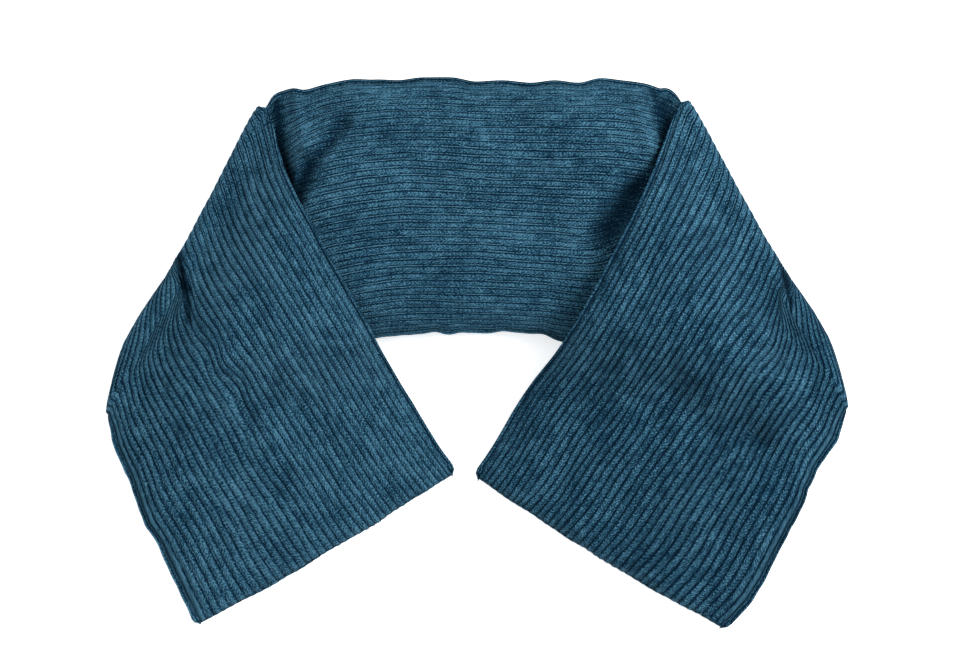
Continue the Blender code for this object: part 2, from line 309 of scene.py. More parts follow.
def sections_at(rows, places):
    """The sections at places from 0 to 1, on a smooth curve through the rows."""
    points = np.array(rows) * (HALF_SPAN, DEPTH, HALF_SPAN, DEPTH)
    steps = np.linalg.norm(np.diff(points, axis=0), axis=1)
    knots = np.concatenate([[0.0], np.cumsum(steps)]) / steps.sum()
    slopes = np.gradient(points, knots, axis=0)
    first = np.clip(np.searchsorted(knots, places, side="right") - 1, 0, len(knots) - 2)
    width = (knots[first + 1] - knots[first])[:, None]
    x = (places - knots[first])[:, None] / width
    return (
        points[first] * (1.0 - x) ** 2 * (1.0 + 2.0 * x)
        + points[first + 1] * x**2 * (3.0 - 2.0 * x)
        + slopes[first] * width * x * (1.0 - x) ** 2
        - slopes[first + 1] * width * x**2 * (1.0 - x)
    )


def plan_points(sections, across):
    edge = sections[:, None, :2]
    hem = sections[:, None, 2:]
    return (edge + hem) / 2.0 + (edge - hem) / 2.0 * across[..., None]


class Fold:
    """One fold's straight line in plan, and what depends on how far a point lies from it."""

    def __init__(self, rows):
        sections = sections_at(rows, np.array([0.25, 1.0]))
        self.start = sections[1, :2]
        line = sections[1, 2:] - self.start
        self.length = np.linalg.norm(line)
        self.down = line / self.length
        self.outward = np.array([-self.down[1], self.down[0]])
        hem = sections[1, 2:] - sections[0, 2:]
        self.hem_start = sections[0, 2:]
        self.past_hem = np.array([hem[1], -hem[0]]) / np.linalg.norm(hem)
        edge = sections[1, :2] - sections[0, :2]
        self.edge_start = sections[0, :2]
        self.past_edge = np.array([-edge[1], edge[0]]) / np.linalg.norm(edge)
        self.half_width = np.linalg.norm(sections[0, :2] - sections[0, 2:]) / 2.0

    def inward(self, points):
        return np.maximum(-(points - self.start) @ self.outward, 0.0)

    def form(self, points, column):
        place = (points - self.start) @ self.down / self.length
        return (FOLD_THICKNESS, BULGE)[column] * np.interp(place, FOLD_FORM[:, 0], FOLD_FORM[:, column + 1])

    def swollen(self, points):
        push = self.form(points, 1) * np.exp(-((self.inward(points) / BULGE_REACH) ** 2))
        return points + push[..., None] * self.outward

    def grown(self, points, full):
        thin = self.form(points, 0)
        return thin + (full - thin) * (1.0 - np.exp(-((self.inward(points) / FOLD_RISE) ** 2)))

    def middle_thickness(self, points):
        return self.grown(points, MIDDLE_THICKNESS)

    def on_middle(self, points):
        beyond = (points - self.hem_start) @ self.past_hem
        return 1.0 - smooth_step((beyond + STEP_INSIDE) / (STEP_INSIDE + STEP_OUTSIDE))

    def flap_thickness(self, points, left):
        full = FLAP_THICKNESS + (FLAP_TOP_THICKNESS - FLAP_THICKNESS) * self.on_middle(points)
        return self.grown(points, END_THICKNESS + (full - END_THICKNESS) * smooth_step(left / END_FALL))

    def base(self, points):
        across = 1.0 + (points - self.edge_start) @ self.past_edge / self.half_width
        share = pillow(EDGE_EASE * np.maximum(across, 0.0), TOP_FLAT)
        drop = SEAM_HEIGHT_SHARE + (1.0 - SEAM_HEIGHT_SHARE) * share
        near = np.exp(-self.inward(points) / FOLD_THICKNESS)
        gap = LAYER_GAP + (2.0 * FOLD_INNER_RADIUS - LAYER_GAP) * near
        return (self.middle_thickness(points) * (drop * (1.0 - near) + near) + gap) * self.on_middle(points)


def drawn_in(sections, across, wall):
    """The places across, drawn in by the seam allowance at both seams and hardly further in."""
    width = np.linalg.norm(sections[:, :2] - sections[:, 2:], axis=1)
    return across - across**12 * np.sign(across) * (2.0 * wall / width)[:, None]


def pressed_in(place, lines):
    """How deep lines from point to point press into the places, all in mm. Ridges have a negative depth."""
    deepest = 0.0
    highest = 0.0
    for x0, y0, x1, y1, half_width, depth in lines:
        start = np.array([x0, y0])
        line = np.array([x1, y1]) - start
        share = np.clip((place - start) @ line / (line @ line), 0.0, 1.0)
        away = np.linalg.norm(place - start - share[..., None] * line, axis=-1)
        crease_depth_and_painted_shade = depth * np.exp(-((away / half_width) ** 2))
        deepest = np.maximum(deepest, crease_depth_and_painted_shade)
        highest = np.minimum(highest, crease_depth_and_painted_shade)
    return deepest + highest


def creased(points, top, stretch, mirror, inset):
    """The height of a face that shows, with its creases pressed in, wider where it lies further inside."""
    place = (points * (mirror, 1.0) - FOOTPRINT_CENTRE) * 1000.0
    wider = INSET_WIDENS * inset
    lines = [(*line, half_width + wider * (depth > 0.0), depth)
             for kind, *line, half_width, depth in CREASES if kind == stretch]
    return top - pressed_in(place, lines) / 1000.0


def stretch_faces(side, stretch, fold, along, across, inset, wall):
    """One stretch of the bag: its plan points and the heights of its underside and its top."""
    rows = (MIDDLE_SECTIONS if stretch == "middle" else FLAP_SECTIONS)[side]
    mirror = -1.0 if side == "left" else 1.0
    if stretch == "flap":
        ends = sections_at(rows, np.array([0.0, 1.0]))
        along = along - along**12 * wall / np.linalg.norm(ends[1, :2] - ends[0, :2])
    sections = sections_at(rows, along)
    places = drawn_in(sections, across, wall)
    points = plan_points(sections, places)
    if stretch == "middle":
        base = 0.0
        full = fold.middle_thickness(points)
        rounding = 1.0
    else:
        towards_end = (sections[-1, 2:] - sections[-1, :2])[::-1] * (1.0, -1.0)
        bow = END_BOW * along[:, None] ** 3 * (1.0 - places**2)
        points = points + bow[..., None] * towards_end / np.linalg.norm(towards_end)
        left = np.linalg.norm(points - points[-1:], axis=2)
        base = fold.base(points)
        full = fold.flap_thickness(points, left)
        rounding = pillow(1.0 - np.clip(left / END_ROUNDING, 0.0, 1.0), 0.0)
    kept = 1.0
    for hollow_side, hollow_stretch, place, over, length, width, depth in HOLLOWS:
        if (hollow_side, hollow_stretch) == (side, stretch):
            away = ((along[:, None] - place) / length) ** 2 + ((places - over) / width) ** 2
            kept = kept - depth * np.exp(-away)
    under = SEAM_HEIGHT_SHARE * full - SEAM_GAP / 2.0
    over = SEAM_HEIGHT_SHARE * full + SEAM_GAP / 2.0
    top = base + over + np.maximum(full * kept - inset - over, 0.0) * pillow(across, TOP_FLAT) * rounding
    low = base + under + np.minimum(inset - under, 0.0) * pillow(across, UNDERSIDE_FLAT) * rounding
    lowest = base + over + max(LEAST_RISE - inset, 0.0) * pillow(across, TOP_FLAT) * rounding
    return points, low, np.maximum(creased(points, top, stretch, mirror, inset), lowest)


def half_face(side, face, ribs, shift=0.0, inset=0.0, wall=0.0):
    """One half of one face of the strip, from its middle round the fold to its sewn end."""
    fold = Fold(MIDDLE_SECTIONS[side])
    row = np.arange(MIDDLE_CELLS + FOLD_CELLS + FLAP_CELLS + 1)
    middle_along = np.clip(row / MIDDLE_CELLS, 0.0, 1.0)
    flap_along = np.clip((row - MIDDLE_CELLS - FOLD_CELLS) / FLAP_CELLS, 0.0, 1.0)
    turn = np.clip((row - MIDDLE_CELLS) / FOLD_CELLS, 0.0, 1.0)[:, None]
    on_top = turn if face == "back" else 1.0 - turn
    top_rise = FLAP_TOP_RISE if face == "back" else MIDDLE_TOP_RISE
    across = (rib_places(ribs + shift, TOP_FLAT, top_rise) * on_top
              + rib_places(ribs + shift, UNDERSIDE_FLAT, UNDERSIDE_RISE) * (1.0 - on_top))
    middle, flap, outer_middle, outer_flap = (
        stretch_faces(side, stretch, fold, along, across, *depth)
        for depth in ((inset, wall), (0.0, 0.0))
        for stretch, along in (("middle", middle_along), ("flap", flap_along))
    )
    low = (outer_middle[1] + outer_middle[2]) / 2.0
    high = (outer_flap[1] + outer_flap[2]) / 2.0
    if face == "front":
        first, last = middle[2], flap[1]
        reach = (high - low) / 2.0 - (first - low) * (1.0 - turn) - (high - last) * turn
    else:
        first, last = middle[1], flap[2]
        reach = (high - low) / 2.0 + (low - first) * (1.0 - turn) + (last - high) * turn
    plan = middle[0] * (1.0 - turn[..., None]) + flap[0] * turn[..., None]
    corner = smooth_step((CORNER_FROM - across) / CORNER_SPAN)
    filled = CORNER_FILL * corner * turn * np.exp(-((flap_along[:, None] / CORNER_FILL_LENGTH) ** 2))
    out = filled + reach * (1.0 - CORNER_TIGHTER * corner) * np.sin(np.pi * turn)
    plan = plan + out[..., None] * fold.outward
    height = (low + high) / 2.0 - reach * np.cos(np.pi * turn)
    height = np.where(turn == 0.0, first, np.where(turn == 1.0, last, height))
    return np.dstack([fold.swollen(plan), height])


def rib_places(ribs, flat, rise):
    """The places across of evenly spaced ribs on a face that rises by this share of its half width."""
    fine = np.linspace(-1.0, 1.0, 4001)
    steps = np.hypot(np.diff(fine), rise * np.diff(pillow(fine, flat)))
    walked = np.concatenate([[0.0], np.cumsum(steps)])
    return np.interp(ribs, walked / walked[-1] * 2.0 - 1.0, fine)


def rib_lines():
    """The lines along the cloth: their places across from -1 to 1, and how high each lies on its rib."""
    widths = np.ones(RIBS)
    widths[0] = SEAM_RIB_WIDTH
    widths[-1] = SEAM_RIB_WIDTH
    edges = np.concatenate([[0.0], np.cumsum(widths)])
    places = [edges[rib] + widths[rib] * RIB_FORM[:, 0] for rib in range(RIBS)]
    places = np.concatenate(places + [edges[-1:]])
    return places / edges[-1] * 2.0 - 1.0, np.concatenate([np.tile(RIB_FORM[:, 1], RIBS), [0.0]])


def run_beside_fold(s, r, around):
    """How far the ribs below a fold's slit climb beside the fold, as a shift across."""
    places = np.linspace(-1.0, 1.0, 801)
    shift = np.zeros((s.size, r.size))
    for row, (along, away) in enumerate(zip(s.ravel(), around.ravel(), strict=True)):
        gather = GATHER["left" if along < 0.0 else "right"]
        short = (CLIMB - CLIMB_FROM_HEM * (places + 1.0)) / CLIMB_SOFTNESS
        most = CLIMB - CLIMB_SOFTNESS * np.logaddexp(0.0, short)
        most = np.maximum(most, 0.0) * (1.0 - smooth_step((places - gather + SLIT_BELOW) / SLIT_SPAN))
        if away > 0.0:
            left = (most - CLIMB_PER_METRE * away) / FALL_SOFTNESS
            climbed = FALL_SOFTNESS * np.logaddexp(0.0, left) * np.clip(most / CLIMB_SOFTNESS, 0.0, 1.0)
        else:
            climbed = most * math.exp(-((away / CLIMB_BEFORE_FOLD) ** 2))
        climbed = np.minimum(climbed, most)
        shift[row] = np.interp(r.ravel(), np.maximum.accumulate(places - climbed), places) - r.ravel()
    return shift


def unevenness(row, s, r, face="front"):
    """One row of unevenness over the cloth, from -size to size. The back panel takes the next seed."""
    seed, length, lumps_across, start, size = row
    if face == "back":
        seed += 1
    return size * soft_noise(seed, s / length + start, r * lumps_across + 60.0)


def past_fold(s):
    """How far a place along the strip lies past the middle of its fold."""
    return np.abs(s) - MIDDLE_LENGTH - TURN_LENGTH / 2.0


def rib_shift(face, s, r):
    """How far the ribs of a face lie from their even places, as a shift across."""
    beyond = past_fold(s)
    free = 1.0 - r**6
    broad, narrow = (unevenness(row, s, r) for row in RIB_WANDER)
    shift = free * (broad + narrow)
    if face == "back":
        turn = np.clip(beyond * 2.0 / TURN_LENGTH, -1.0, 1.0)
        around = beyond + TURN_PUSH * turn
        past = np.maximum(np.abs(beyond) - TURN_LENGTH / 2.0, 0.0)
        gather = np.where(s < 0.0, GATHER["left"], GATHER["right"])
        above = smooth_step((r - gather + LEAN_BELOW) / LEAN_SPAN)
        shift = shift - LEAN * turn * above * np.exp(-((past / LEAN_REACH) ** 2)) * (1.0 - r**4)
        shift = shift + run_beside_fold(s, r, around)
        down = np.clip((beyond - TURN_LENGTH / 2.0) / FLAP_LENGTH, 0.0, 1.0)
        shift = shift + DRIFT * down * (1.0 - r**2)
    for where, place, over, length, width, amount in PULLS:
        if where == face:
            away = ((s * 1000.0 - place) / length) ** 2 + ((r - over) / width) ** 2
            shift = shift + amount * free * np.exp(-away)
    return shift


def along_strip():
    """How far each line along the strip lies from its middle, for one half."""
    middle = np.linspace(0.0, MIDDLE_LENGTH, MIDDLE_CELLS + 1)
    turn = MIDDLE_LENGTH + np.linspace(0.0, TURN_LENGTH, FOLD_CELLS + 1)[1:-1]
    flap = MIDDLE_LENGTH + TURN_LENGTH + np.linspace(0.0, FLAP_LENGTH, FLAP_CELLS + 1)
    return np.concatenate([middle, turn, flap])


def unit(vectors):
    return vectors / np.linalg.norm(vectors, axis=2, keepdims=True)


def whole_strip(left, right):
    """Both halves of a face as one grid, the left one mirrored, its footprint's middle at the origin."""
    points = np.concatenate([left[:0:-1] * (-1.0, 1.0, 1.0), right])
    points[..., :2] -= FOOTPRINT_CENTRE
    return points


def walked_along(points):
    """How far each point lies from the middle of the strip, measured along its own line of the grid."""
    steps = np.linalg.norm(np.diff(points, axis=0), axis=2)
    walked = np.concatenate([np.zeros((1, points.shape[1])), np.cumsum(steps, axis=0)])
    return walked - walked[len(points) // 2]


def ruffle(s, r, at_fold):
    """How far the long seams wave outwards."""
    wave = soft_noise(7, s / RUFFLE_WAVE + 70.0, np.sign(r) * 3.0 + 30.0)
    wave += HEM_WAVE_SHARE * soft_noise(8, s / HEM_WAVE + 70.0, np.sign(r) * 3.0 + 30.0) * (r < 0.0)
    kept = 1.0 - RUFFLE_LOST_ON_FLAP * smooth_step(past_fold(s) / RUFFLE_LOST_BY)
    return RUFFLE * wave * np.abs(r) ** 6 * kept * (1.0 - at_fold)


def corner_rounding(s, r):
    """How far points near the strip's four corners move in from the end and from the seam."""
    end = np.abs(s) - np.abs(s).max()
    to_end = np.clip(CORNER_ROUNDING + end, 0.0, CORNER_ROUNDING)
    to_seam = np.clip(CORNER_ROUNDING - (1.0 - np.abs(r)) * STRIP_WIDTH / 2.0, 0.0, CORNER_ROUNDING)
    cut_off = 1.0 - np.maximum(to_end, to_seam) / np.maximum(np.hypot(to_end, to_seam), 1e-9)
    cut_off = np.where(np.minimum(to_end, to_seam) > 0.0, cut_off, 0.0)
    return to_end * cut_off, to_seam * cut_off


def shape_outline(points, s, r, at_fold):
    """Move the seams and ends of a face, whose seams then wave and whose corners are round."""
    half = len(points) // 2 + 1
    sideways = unit(points[:, -1:] - points[:, :1])
    outwards = points - np.concatenate([points[6:7], points[:-1]])
    outwards[:half] = points[:half] - points[1: half + 1]
    outwards[..., 2] = 0.0
    from_end, from_seam = corner_rounding(s, r)
    points += ((ruffle(s, r, at_fold) - from_seam) * np.sign(r))[..., None] * sideways
    points -= from_end[..., None] * unit(outwards)


def outer_normals(points, face):
    normals = np.cross(np.gradient(points, axis=0), np.gradient(points, axis=1))
    normals[:, 0, 2] = 0.0
    normals[:, -1, 2] = 0.0
    return unit(normals) * (-1.0 if face == "back" else 1.0)


def relief(face, rib, s, r):
    """How far the ribs and lumps of a face stand out from it, the ribs' own tops at 0."""
    beyond = past_fold(s)
    end = np.abs(s) - np.abs(s).max()
    height = RIB_HEIGHT[face] * (MEAN_HEIGHT_SHARE + unevenness(UNEVEN_RIBS, s, r, face))
    height *= (1.0 - HEIGHT_LOST_AT_FOLD * np.exp(-((beyond / RIBS_FLATTER_BY_FOLD) ** 2))
               - HEIGHT_LOST_AT_END * np.exp(end / END_REACH))
    lumps = unevenness(LUMPS, s, r, face) - LUMPS_LOWER
    lumps += unevenness(SMALL_LUMPS, s, r, face)
    lumps *= (1.0 - r**6) * (1.0 - LUMPS_LOST_AT_FOLD * np.exp(-((beyond / LUMPS_LOWER_BY_FOLD) ** 2)))
    return height * (rib - 1.0) + lumps


def cloth_face(face):
    """The points of one face's cloth over the whole strip, ribs and all, its cut, and its seam allowance.
    The cut is how far each point lies along and across the cloth, and how much painted shade its creases and
    slits get."""
    ribs, rib = rib_lines()
    half = along_strip()
    s = np.concatenate([-half[:0:-1], half])[:, None]
    r = ribs[None, :]
    shift = rib_shift(face, s, r)
    left = half_face("left", face, ribs, shift[len(half) - 1::-1])
    right = half_face("right", face, ribs, shift[len(half) - 1:])
    points = whole_strip(left, right)
    walked = walked_along(points)
    at_fold = np.exp(-((past_fold(s) / FOLD_REACH) ** 2))
    shape_outline(points, s, r, at_fold)
    normals = outer_normals(points, face)
    shown = smooth_step(normals[..., 2] * 3.0)
    place = points[..., :2] * 1000.0
    slits = pressed_in(place, SLITS) / 1000.0 * shown * (face == "back")
    stretch = "middle" if face == "front" else "flap"
    # Painted shade: the pile's colour is darkened in the deeper creases and in the slits, where the face
    # shows
    shaded_creases = [crease[1:] for crease in CREASES if crease[0] == stretch and crease[6] > PAINTED_SHADE_FROM]
    crease_depth_and_painted_shade = np.clip(pressed_in(place, shaded_creases) / PAINTED_SHADE_FULL, 0.0, 1.0) * shown
    crease_depth_and_painted_shade = crease_depth_and_painted_shade + np.clip(slits / PAINTED_SLIT_SHADE_FULL, 0.0, 1.0)
    points += np.maximum(relief(face, rib, s, r) - slits, -DEEPEST_MOVE)[..., None] * normals
    points[..., 2] = np.maximum(points[..., 2], 0.0)
    cut = np.dstack([walked, np.broadcast_to(r * STRIP_WIDTH / 2.0, walked.shape), crease_depth_and_painted_shade])
    return points, cut, TUCKED_IN * (1.0 - TUCK_LOST_AT_FOLD * at_fold[..., None])


def with_allowance(points, cut, allowance):
    """The face with its seam allowance tucked in behind both seams and both ends, and its cut to match."""
    for axis, tucked in ((1, allowance), (0, TUCKED_IN)):
        ends = []
        for here, beyond, sign in ((0, 1, -1.0), (-1, -2, 1.0)):
            rim = points.take([here], axis)
            inward = points.take([beyond], axis) - rim
            if axis == 0:
                inward = points.take([5 if here == 0 else -6], axis) - rim
                inward[..., 2] = 0.0
            inward = unit(inward)
            step = np.zeros(3)
            step[axis] = sign
            rim_cut = cut.take([here], axis)
            reaches = [share * tucked for share in TUCKED_SHARES]
            ends.append([(rim + inward * reach, rim_cut + step * reach) for reach in reaches])
        order = [ends[0][1], ends[0][0], (points, cut), ends[1][0], ends[1][1]]
        points, cut = (np.concatenate(parts, axis) for parts in zip(*order, strict=True))
    return points, cut


def sewn_strip(name, face, made_of):
    """One panel as a piece: a grid of cells laid on its face, with its own map in tenths of a metre."""
    points, cut = with_allowance(*cloth_face(face))
    along, across = points.shape[:2]
    cells = bmesh.new()
    bmesh.ops.create_grid(cells, x_segments=along - 1, y_segments=across - 1, size=0.5)
    if face == "back":
        bmesh.ops.reverse_faces(cells, faces=cells.faces[:])
    mesh = bpy.data.meshes.new(name)
    cells.to_mesh(mesh)
    cells.free()
    mesh.vertices.foreach_set("co", points.transpose(1, 0, 2).ravel())
    corners = np.empty(len(mesh.loops), np.int32)
    mesh.loops.foreach_get("vertex_index", corners)
    flat = cut.transpose(1, 0, 2).reshape(-1, 3)
    mesh.uv_layers.new(name="cut").data.foreach_set("uv", (flat[corners, :2] * 10.0).ravel())
    # The painted shade of creases and slits goes to the material as a point attribute
    mesh.attributes.new("crease_depth_and_painted_shade", "FLOAT", "POINT").data.foreach_set("value", flat[:, 2])
    mesh.shade_smooth()
    mesh.update()
    mesh.materials.append(made_of)
    piece = bpy.data.objects.new(name, mesh)
    bpy.context.collection.objects.link(piece)
    return piece


def node(tree, kind, inputs=(), **settings):
    """A shader node with its settings made and its inputs set or joined."""
    made = tree.nodes.new(kind)
    for key, value in settings.items():
        setattr(made, key, value)
    for socket, value in dict(inputs).items():
        if isinstance(value, bpy.types.NodeSocket):
            tree.links.new(value, made.inputs[socket])
        else:
            made.inputs[socket].default_value = value
    return made


def maths(tree, operation, a, b=0.0, c=0.0, clamp=False):
    return node(tree, "ShaderNodeMath", {0: a, 1: b, 2: c}, operation=operation, use_clamp=clamp).outputs[0]


def ramp(tree, value, low, high):
    """0 below low and 1 above high, eased between them."""
    made = node(tree, "ShaderNodeMapRange", {"Value": value, "From Min": low, "From Max": high},
                interpolation_type="SMOOTHSTEP")
    return made.outputs["Result"]


def noise(tree, vector, scale, detail=2.0, roughness=0.5):
    made = node(tree, "ShaderNodeTexNoise",
                {"Vector": vector, "Scale": scale, "Detail": detail, "Roughness": roughness})
    return made.outputs["Fac"]


def blended(tree, share, first, second):
    return node(tree, "ShaderNodeMix", {0: share, 6: first, 7: second}, data_type="RGBA").outputs[2]


def scaled(tree, vector, scale):
    return node(tree, "ShaderNodeVectorMath", {0: vector, 1: scale}, operation="MULTIPLY").outputs[0]


# Patterns on the cut, which is in tenths of a metre: scale along and across it, scale, detail, roughness
PILE_PATTERNS = {
    "first_groove": (9.0, 30.0, 1.0, 3.0, 0.6),
    "second_groove": (7.0, 26.0, 1.3, 3.0, 0.6),
    "uneven_strokes": (60.0, 40.0, 1.0, 1.0, 0.5),
    "fibres": (105.0, 135.0, 1.0, 2.0, 0.8),
    "broad_patches": (2.6, 4.0, 1.0, 3.0, 0.6),
    "streaks": (12.0, 22.0, 1.0, 4.0, 0.65),
}

# Stretches of the cut: where each begins and where it is full
ON_FLAP = (1.4, 1.7)
ON_RIGHT_FLAP = (1.3, 2.0)
AT_EDGE_SEAM = (0.715, 0.72)
# Painted light: the pile's colour is lighter near the hem, against the shade on the steep side there
PAINTED_LIGHT_NEAR_HEM = (0.64, 0.73)

# Grooves as shares of a rib's width, their dark colour painted shade: the dark core, and where the groove
# ends
FIRST_GROOVE = (0.04, 0.15)
FIRST_GROOVE_WIDER_ON_FLAP = 0.09
SECOND_GROOVE = (0.03, 0.12)
THIN_RIB_TOP = (0.03, 0.10)
STROKES_PER_UNIT = 50.0
STROKE_SLANT = 0.8
STROKE_JITTER = 1.6

# Tones of the pile from 0, darkest, to 1: the mean, and how much each effect adds
MEAN_TONE = 0.57
TONES = {
    "patches": 0.85,
    "loops": 0.22,
    "fibres": 1.7,
    # painted light near the hem
    "thin_ribs": 0.48,
    # painted shade in the grooves between the ribs
    "painted_groove_shade": -0.80,
    "painted_light_near_hem": 0.15,
    "on_flap": 0.09,
    "on_right_flap": -0.18,
    # painted shade in creases and slits
    "crease_depth_and_painted_shade": -0.85,
}
PILE_COLOURS = (
    (0.00, (0.0008, 0.0135, 0.0310, 1.0)),
    (0.25, (0.0075, 0.0390, 0.0740, 1.0)),
    (0.50, (0.0175, 0.0740, 0.1260, 1.0)),
    (0.75, (0.0360, 0.1240, 0.1960, 1.0)),
    (1.00, (0.0900, 0.2350, 0.3400, 1.0)),
)


def pattern(tree, place, name):
    """One of the pile's patterns over the cut."""
    along, across, scale, detail, roughness = PILE_PATTERNS[name]
    return noise(tree, scaled(tree, place, (along, across, 1.0)), scale, detail, roughness)


def chenille():
    """Ribbed chenille: broad ribs of slanting loops with thin ribs between, brushed lighter and darker, with
    painted shade in the grooves, creases and slits and painted light near the hem.
    """
    made = bpy.data.materials.new("teal_chenille")
    made.use_nodes = True
    tree = made.node_tree
    shader = tree.nodes["Principled BSDF"]
    place = node(tree, "ShaderNodeUVMap", uv_map="cut").outputs["UV"]
    split = node(tree, "ShaderNodeSeparateXYZ", {0: place})
    along, across = split.outputs["X"], split.outputs["Y"]
    ribs_per_unit = (RIBS - 2.0 + 2.0 * SEAM_RIB_WIDTH) / (STRIP_WIDTH * 10.0)
    count = maths(tree, "MULTIPLY_ADD", across, ribs_per_unit, 100.0)
    phase = maths(tree, "FRACT", count)
    rib = maths(tree, "FLOOR", count)
    on_broad = maths(tree, "DIVIDE", maths(tree, "SUBTRACT", phase, THIN_RIB), 1.0 - THIN_RIB)
    side = maths(tree, "ABSOLUTE", maths(tree, "MULTIPLY_ADD", on_broad, 2.0, -1.0))

    # Two grooves to a rib, painted in as dark shade, each deeper here and shallower there
    wave = pattern(tree, place, "first_groove")
    other = pattern(tree, place, "second_groove")
    to_first = maths(tree, "MINIMUM", phase, maths(tree, "SUBTRACT", 1.0, phase))
    to_second = maths(tree, "ABSOLUTE", maths(tree, "SUBTRACT", phase, THIN_RIB))
    on_flap = ramp(tree, maths(tree, "ABSOLUTE", along), *ON_FLAP)
    at_seam = ramp(tree, across, *AT_EDGE_SEAM)
    groove_end = maths(tree, "MULTIPLY_ADD", on_flap, FIRST_GROOVE_WIDER_ON_FLAP, FIRST_GROOVE[1])
    first = maths(tree, "SUBTRACT", 1.0, ramp(tree, to_first, FIRST_GROOVE[0], groove_end))
    second = maths(tree, "SUBTRACT", 1.0, ramp(tree, to_second, *SECOND_GROOVE))
    first_depth = maths(tree, "MULTIPLY_ADD", ramp(tree, wave, 0.35, 0.6), 0.4, 0.6)
    first = maths(tree, "MULTIPLY", first, maths(tree, "MAXIMUM", first_depth, at_seam))
    second_depth = maths(tree, "MULTIPLY_ADD", on_flap, -0.6, ramp(tree, other, 0.38, 0.56), clamp=True)
    second = maths(tree, "MULTIPLY", second, second_depth)
    groove = maths(tree, "MAXIMUM", first, second)
    to_thin = maths(tree, "ABSOLUTE", maths(tree, "SUBTRACT", phase, THIN_RIB / 2.0))
    thin = maths(tree, "SUBTRACT", 1.0, ramp(tree, to_thin, *THIN_RIB_TOP))
    thin = maths(tree, "MULTIPLY", thin, second_depth)

    # Loops: two rows of short slanting strokes on each broad rib, and the fibres of the pile
    stroke = maths(tree, "MULTIPLY", along, STROKES_PER_UNIT)
    stroke = maths(tree, "MULTIPLY_ADD", side, STROKE_SLANT, stroke)
    stroke = maths(tree, "MULTIPLY_ADD", pattern(tree, place, "uneven_strokes"), STROKE_JITTER, stroke)
    loops = maths(tree, "SINE", maths(tree, "MULTIPLY", stroke, 2.0 * math.pi))
    fibres = maths(tree, "MULTIPLY_ADD", pattern(tree, place, "fibres"), 2.0, -1.0)

    # Brushed patches: broad ones, and stretches of single ribs whose pile lies the other way
    broad = pattern(tree, place, "broad_patches")
    on_rib = {0: maths(tree, "MULTIPLY", along, 11.0), 1: maths(tree, "MULTIPLY", rib, 7.31)}
    single = noise(tree, node(tree, "ShaderNodeCombineXYZ", on_rib).outputs[0], 1.0, 4.0, 0.7)
    streaks = maths(tree, "MULTIPLY_ADD", pattern(tree, place, "streaks"), 1.2, -1.05)
    patches = maths(tree, "MULTIPLY_ADD", broad, 0.9, streaks)
    patches = maths(tree, "ADD", patches, maths(tree, "MULTIPLY_ADD", single, 1.1, -0.55))

    # The tone adds up all of these, and a ramp of colours turns it into teal
    effects = {
        "patches": patches,
        "loops": loops,
        "fibres": fibres,
        "thin_ribs": thin,
        # painted shade in the grooves between the ribs
        "painted_groove_shade": groove,
        # painted light near the hem
        "painted_light_near_hem": ramp(tree, maths(tree, "MULTIPLY", across, -1.0), *PAINTED_LIGHT_NEAR_HEM),
        "on_flap": on_flap,
        "on_right_flap": ramp(tree, along, *ON_RIGHT_FLAP),
        # painted shade in creases and slits, from the point attribute
        "crease_depth_and_painted_shade": node(tree, "ShaderNodeAttribute", attribute_name="crease_depth_and_painted_shade").outputs["Fac"],
    }
    tone = MEAN_TONE
    for effect, share in TONES.items():
        tone = maths(tree, "MULTIPLY_ADD", effects[effect], share, tone)
    ramped = node(tree, "ShaderNodeValToRGB", {0: tone})
    stops = ramped.color_ramp.elements
    stops.remove(stops[1])
    stops[0].color = PILE_COLOURS[0][1]
    for position, colour in PILE_COLOURS[1:]:
        stops.new(position).color = colour
    tree.links.new(ramped.outputs["Color"], shader.inputs["Base Color"])
    shader.inputs["Roughness"].default_value = 0.9
    shader.inputs["Specular IOR Level"].default_value = 0.06
    shader.inputs["Sheen Weight"].default_value = 0.12
    shader.inputs["Sheen Roughness"].default_value = 0.4
    shader.inputs["Sheen Tint"].default_value = (0.30, 0.70, 0.95, 1.0)
    height = maths(tree, "MULTIPLY_ADD", loops, 0.35, maths(tree, "MULTIPLY", fibres, 1.1))
    height = maths(tree, "MULTIPLY_ADD", groove, -1.0, height)
    bump = node(tree, "ShaderNodeBump", {"Height": height, "Strength": 0.7, "Distance": 0.0005})
    tree.links.new(bump.outputs["Normal"], shader.inputs["Normal"])
    return made


teal_chenille = chenille()
front_panel = sewn_strip("front_panel_cloth", "front", teal_chenille)
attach(front_panel, "root")
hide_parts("front_panel")


# The back panel: the same chenille, cut to the same strip and sewn to the front panel all round. It lies on
# the surface under the middle stretch, comes round the outside of both folds and shows on the two flaps.

back_panel = sewn_strip("back_panel_cloth", "back", teal_chenille)
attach(back_panel, "root")
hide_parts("back_panel")


# The wheat filling: loose dry grain that fills the sewn strip to about two thirds. It lies inside the cloth,
# held by nothing else, and gives the bag its form and its weight.

GRAIN_INSET = 0.0042
GRAIN_WALL = 0.0090
GRAIN_LINES = 61


def grain_mesh(name, made_of):
    """The filling as one closed mesh: its upper and its lower face, joined round their rims."""
    lines = np.linspace(-1.0, 1.0, GRAIN_LINES)
    cells = bmesh.new()
    for face in ("front", "back"):
        halves = [
            half_face(side, face, lines, inset=GRAIN_INSET, wall=GRAIN_WALL) for side in ("left", "right")
        ]
        points = whole_strip(*halves)
        along, across = points.shape[:2]
        grid = bmesh.ops.create_grid(cells, x_segments=along - 1, y_segments=across - 1, size=0.5)
        for vert, place in zip(grid["verts"], points.transpose(1, 0, 2).reshape(-1, 3), strict=True):
            vert.co = place
    rims = [edge for edge in cells.edges if edge.is_boundary]
    bmesh.ops.bridge_loops(cells, edges=rims)
    bmesh.ops.recalc_face_normals(cells, faces=cells.faces[:])
    mesh = bpy.data.meshes.new(name)
    cells.to_mesh(mesh)
    cells.free()
    mesh.shade_smooth()
    mesh.materials.append(made_of)
    piece = bpy.data.objects.new(name, mesh)
    bpy.context.collection.objects.link(piece)
    return piece


